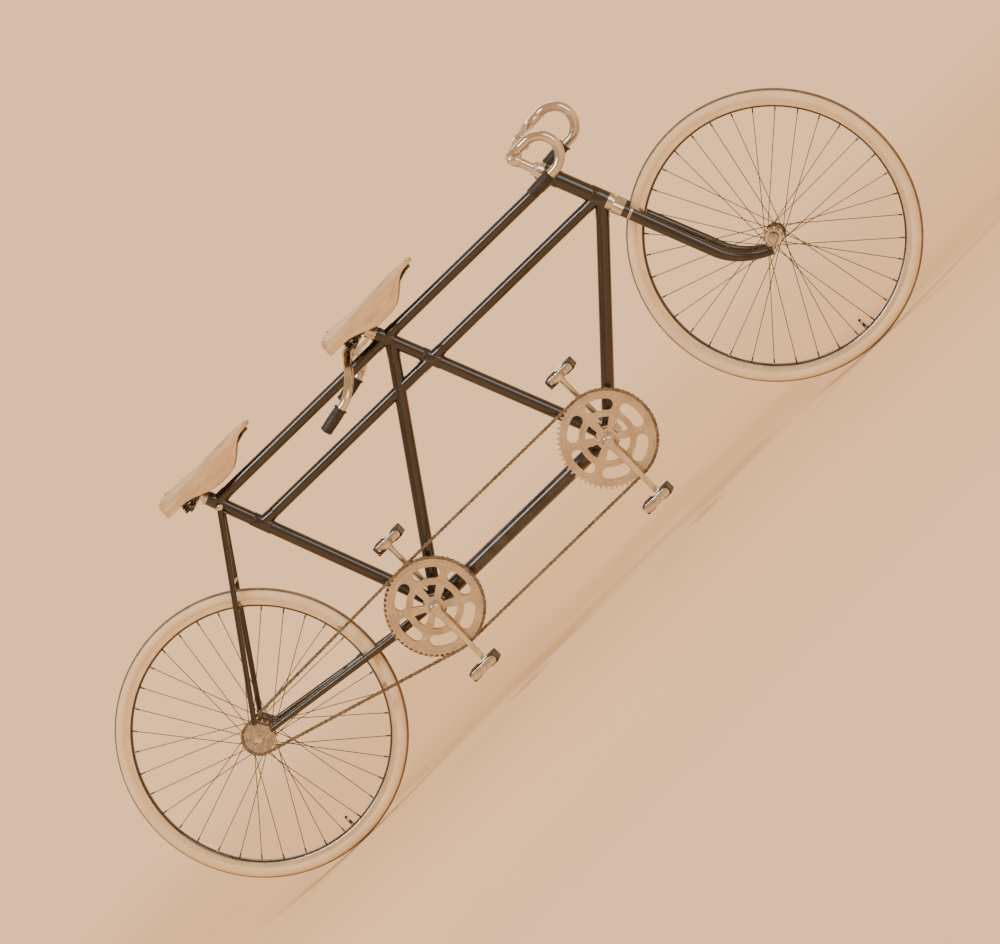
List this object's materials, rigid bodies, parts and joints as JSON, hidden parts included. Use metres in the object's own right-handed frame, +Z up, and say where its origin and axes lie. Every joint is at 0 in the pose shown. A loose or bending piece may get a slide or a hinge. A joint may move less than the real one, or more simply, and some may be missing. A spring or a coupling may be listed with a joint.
{
  "type": "tandem bicycle",
  "caption": "Tandem bicycle for two riders, with a brazed tube frame, a timing chain joining both cranksets, a single-speed rear drive, drop bars in front and sprung saddles.",
  "frame": {"origin": "on the ground, midway between the two axles", "axes": "+X forward, +Y to the riders' left, +Z up"},
  "size_m": [2.394, 0.45, 0.9353],
  "materials": {
    "frame_paint": "gloss",
    "chrome": "polished",
    "steel": "satin",
    "chain_steel": "satin",
    "rim_enamel": "gloss",
    "tyre": "matte",
    "rubber": "matte",
    "leather": "satin"
  },
  "bodies": {
    "frame": {"head_tube": "frame_paint", "top_tube": "frame_paint", "lateral_tube": "frame_paint", "down_tube": "frame_paint", "captain_seat_tube": "frame_paint", "stoker_seat_tube": "frame_paint", "mid_diagonal": "frame_paint", "boom_tube": "frame_paint", "captain_bb_shell": "frame_paint", "stoker_bb_shell": "frame_paint", "chain_stays": "frame_paint", "seat_stays": "frame_paint", "rear_dropouts": "steel", "headset_cups": "chrome", "bb_cups": "chrome", "bearing_balls": "chrome", "seat_binders": "chrome", "rear_axle": "chrome", "timing_chain": "chain_steel", "drive_chain": "chain_steel"},
    "fork": {"fork_crown": "chrome", "fork_blades": "frame_paint", "fork_ends": "steel", "headset_races": "chrome", "front_axle": "chrome"},
    "stem": {"stem": "chrome", "stem_bolts": "chrome"},
    "front_bars": {"front_bar": "chrome", "front_grip_left": "rubber", "front_grip_right": "rubber"},
    "captain_seat": {"captain_seatpost": "chrome", "captain_saddle_chassis": "steel", "captain_saddle_cover": "leather", "stoker_stem": "chrome", "stoker_bar": "chrome", "stoker_grip_left": "rubber", "stoker_grip_right": "rubber"},
    "stoker_seat": {"stoker_seatpost": "chrome", "stoker_saddle_chassis": "steel", "stoker_saddle_cover": "leather"},
    "front_wheel": {"front_hub": "chrome", "front_spokes": "steel", "front_rim": "rim_enamel", "front_tyre": "tyre", "front_inner_tube": "rubber"},
    "rear_wheel": {"rear_hub": "chrome", "rear_spokes": "steel", "rear_rim": "rim_enamel", "rear_tyre": "tyre", "rear_inner_tube": "rubber"},
    "freewheel": {"rear_cog": "steel"},
    "captain_cranks": {"captain_crank": "chrome", "captain_ring": "chrome"},
    "stoker_cranks": {"stoker_crank": "chrome", "stoker_timing_ring": "chrome", "stoker_drive_ring": "chrome"},
    "captain_right_pedal": {"captain_right_pedal": "rubber"},
    "captain_left_pedal": {"captain_left_pedal": "rubber"},
    "stoker_right_pedal": {"stoker_right_pedal": "rubber"},
    "stoker_left_pedal": {"stoker_left_pedal": "rubber"}
  },
  "joints": [
    {"name": "steering", "type": "hinge", "parent": "frame", "child": "fork", "pos_m": [0.77304, 0, 0.31591], "axis": [-0.3746, 0, 0.9272], "range_deg": [-45, 45]},
    {"name": "stem_height", "type": "slide", "parent": "fork", "child": "stem", "axis": [-0.3746, 0, 0.9272], "range_m": [0, 0.03]},
    {"name": "front_bar_roll", "type": "hinge", "parent": "stem", "child": "front_bars", "pos_m": [0.57905, 0, 0.91885], "axis": [0, 1, 0], "range_deg": [-15, 15]},
    {"name": "captain_seat_height", "type": "slide", "parent": "frame", "child": "captain_seat", "axis": [-0.3746, 0, 0.9272], "range_m": [0, 0.06]},
    {"name": "stoker_seat_height", "type": "slide", "parent": "frame", "child": "stoker_seat", "axis": [-0.3584, 0, 0.9336], "range_m": [0, 0.06]},
    {"name": "front_wheel_spin", "type": "hinge", "parent": "fork", "child": "front_wheel", "pos_m": [0.85, 0, 0.347], "axis": [0, 1, 0], "continuous": true},
    {"name": "rear_wheel_spin", "type": "hinge", "parent": "frame", "child": "rear_wheel", "pos_m": [-0.85, 0, 0.347], "axis": [0, 1, 0], "continuous": true},
    {"name": "stoker_crank_spin", "type": "hinge", "parent": "frame", "child": "stoker_cranks", "pos_m": [-0.33281, 0, 0.281], "axis": [0, 1, 0], "continuous": true, "deforming": ["timing_chain", "drive_chain"]},
    {"name": "captain_crank_spin", "type": "hinge", "parent": "frame", "child": "captain_cranks", "pos_m": [0.23869, 0, 0.281], "axis": [0, 1, 0], "continuous": true},
    {"name": "freewheel_spin", "type": "hinge", "parent": "frame", "child": "freewheel", "pos_m": [-0.85, 0, 0.347], "axis": [0, 1, 0], "continuous": true},
    {"name": "captain_right_pedal_spin", "type": "hinge", "parent": "captain_cranks", "child": "captain_right_pedal", "pos_m": [0.23869, -0.12, 0.106], "axis": [0, 1, 0], "continuous": true},
    {"name": "captain_left_pedal_spin", "type": "hinge", "parent": "captain_cranks", "child": "captain_left_pedal", "pos_m": [0.23869, 0.12, 0.456], "axis": [0, 1, 0], "continuous": true},
    {"name": "stoker_right_pedal_spin", "type": "hinge", "parent": "stoker_cranks", "child": "stoker_right_pedal", "pos_m": [-0.33281, -0.12, 0.106], "axis": [0, 1, 0], "continuous": true},
    {"name": "stoker_left_pedal_spin", "type": "hinge", "parent": "stoker_cranks", "child": "stoker_left_pedal", "pos_m": [-0.33281, 0.12, 0.456], "axis": [0, 1, 0], "continuous": true}
  ],
  "couplings": [
    {"joint": "captain_crank_spin", "follows": "stoker_crank_spin", "ratio": 1},
    {"joint": "freewheel_spin", "follows": "stoker_crank_spin", "ratio": 2.9}
  ]
}
